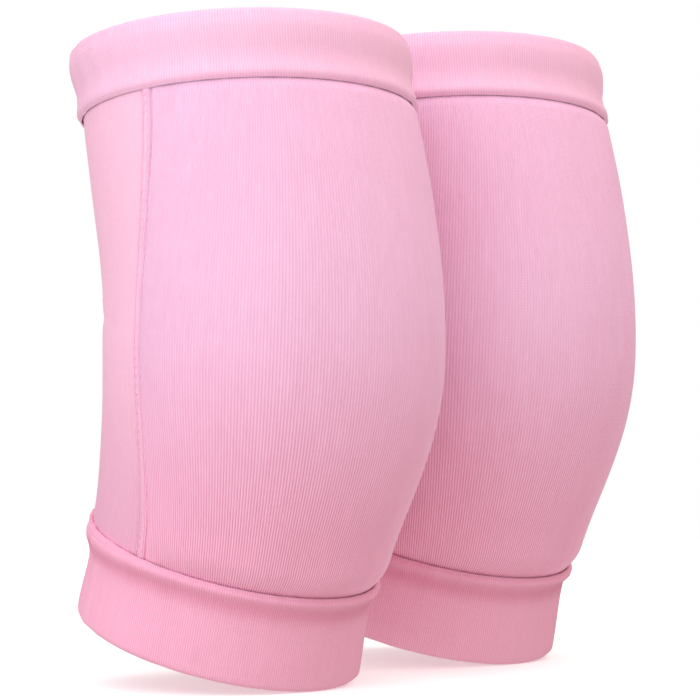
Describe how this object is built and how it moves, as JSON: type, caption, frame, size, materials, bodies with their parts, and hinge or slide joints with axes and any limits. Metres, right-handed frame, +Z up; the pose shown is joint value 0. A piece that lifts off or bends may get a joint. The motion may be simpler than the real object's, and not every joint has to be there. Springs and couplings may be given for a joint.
{
  "type": "knee pad pair",
  "caption": "Pull-on padded knit knee pads for gymnastics and dance, worn on two slightly bent legs: ribbed front over foam, smooth back, folded elastic cuffs.",
  "frame": {"origin": "knee centre of pad1, where the knee's bending axis crosses the middle of the sleeve", "axes": "+Z up towards the thigh, -Y to the padded front, +X across the pair from pad1 to pad2"},
  "size_m": [0.2508, 0.1904, 0.241],
  "materials": {
    "rib_knit": "fine vertical rib knit, matte",
    "jersey_knit": "smooth stretch jersey, matte",
    "lining_knit": "plain knit lining",
    "foam": "soft open cushion foam",
    "cuff_knit": "doubled stretch knit band, matte",
    "elastic": "woven elastic band",
    "thread": "stretch sewing thread"
  },
  "bodies": {
    "sleeves": {"pad1_front_panel": "rib_knit", "pad1_back_panel": "jersey_knit", "pad1_front_lining": "lining_knit", "pad1_foam_pad": "foam", "pad1_top_cuff": "cuff_knit", "pad1_top_elastic": "elastic", "pad1_top_seam_thread": "thread", "pad1_inner_side_seam_thread": "thread", "pad1_outer_side_seam_thread": "thread", "pad2_front_panel": "rib_knit", "pad2_back_panel": "jersey_knit", "pad2_front_lining": "lining_knit", "pad2_foam_pad": "foam", "pad2_top_cuff": "cuff_knit", "pad2_top_elastic": "elastic", "pad2_top_seam_thread": "thread", "pad2_inner_side_seam_thread": "thread", "pad2_outer_side_seam_thread": "thread"},
    "pad1_calf_end": {"pad1_bottom_cuff": "cuff_knit", "pad1_bottom_elastic": "elastic", "pad1_bottom_seam_thread": "thread"},
    "pad2_calf_end": {"pad2_bottom_cuff": "cuff_knit", "pad2_bottom_elastic": "elastic", "pad2_bottom_seam_thread": "thread"}
  },
  "joints": [
    {"name": "pad1_knee_flex", "type": "hinge", "parent": "sleeves", "child": "pad1_calf_end", "pos_m": [0, 0, 0], "axis": [1, 0, 0], "range_deg": [-27, 63], "stiffness_Nm_per_rad": 0.3, "deforming": ["pad1_front_panel", "pad1_back_panel", "pad1_front_lining", "pad1_foam_pad", "pad1_inner_side_seam_thread", "pad1_outer_side_seam_thread"]},
    {"name": "pad2_knee_flex", "type": "hinge", "parent": "sleeves", "child": "pad2_calf_end", "pos_m": [0.125, 0.046, 0], "axis": [1, 0, 0], "range_deg": [-27, 63], "stiffness_Nm_per_rad": 0.3, "deforming": ["pad2_front_panel", "pad2_back_panel", "pad2_front_lining", "pad2_foam_pad", "pad2_inner_side_seam_thread", "pad2_outer_side_seam_thread"]}
  ]
}
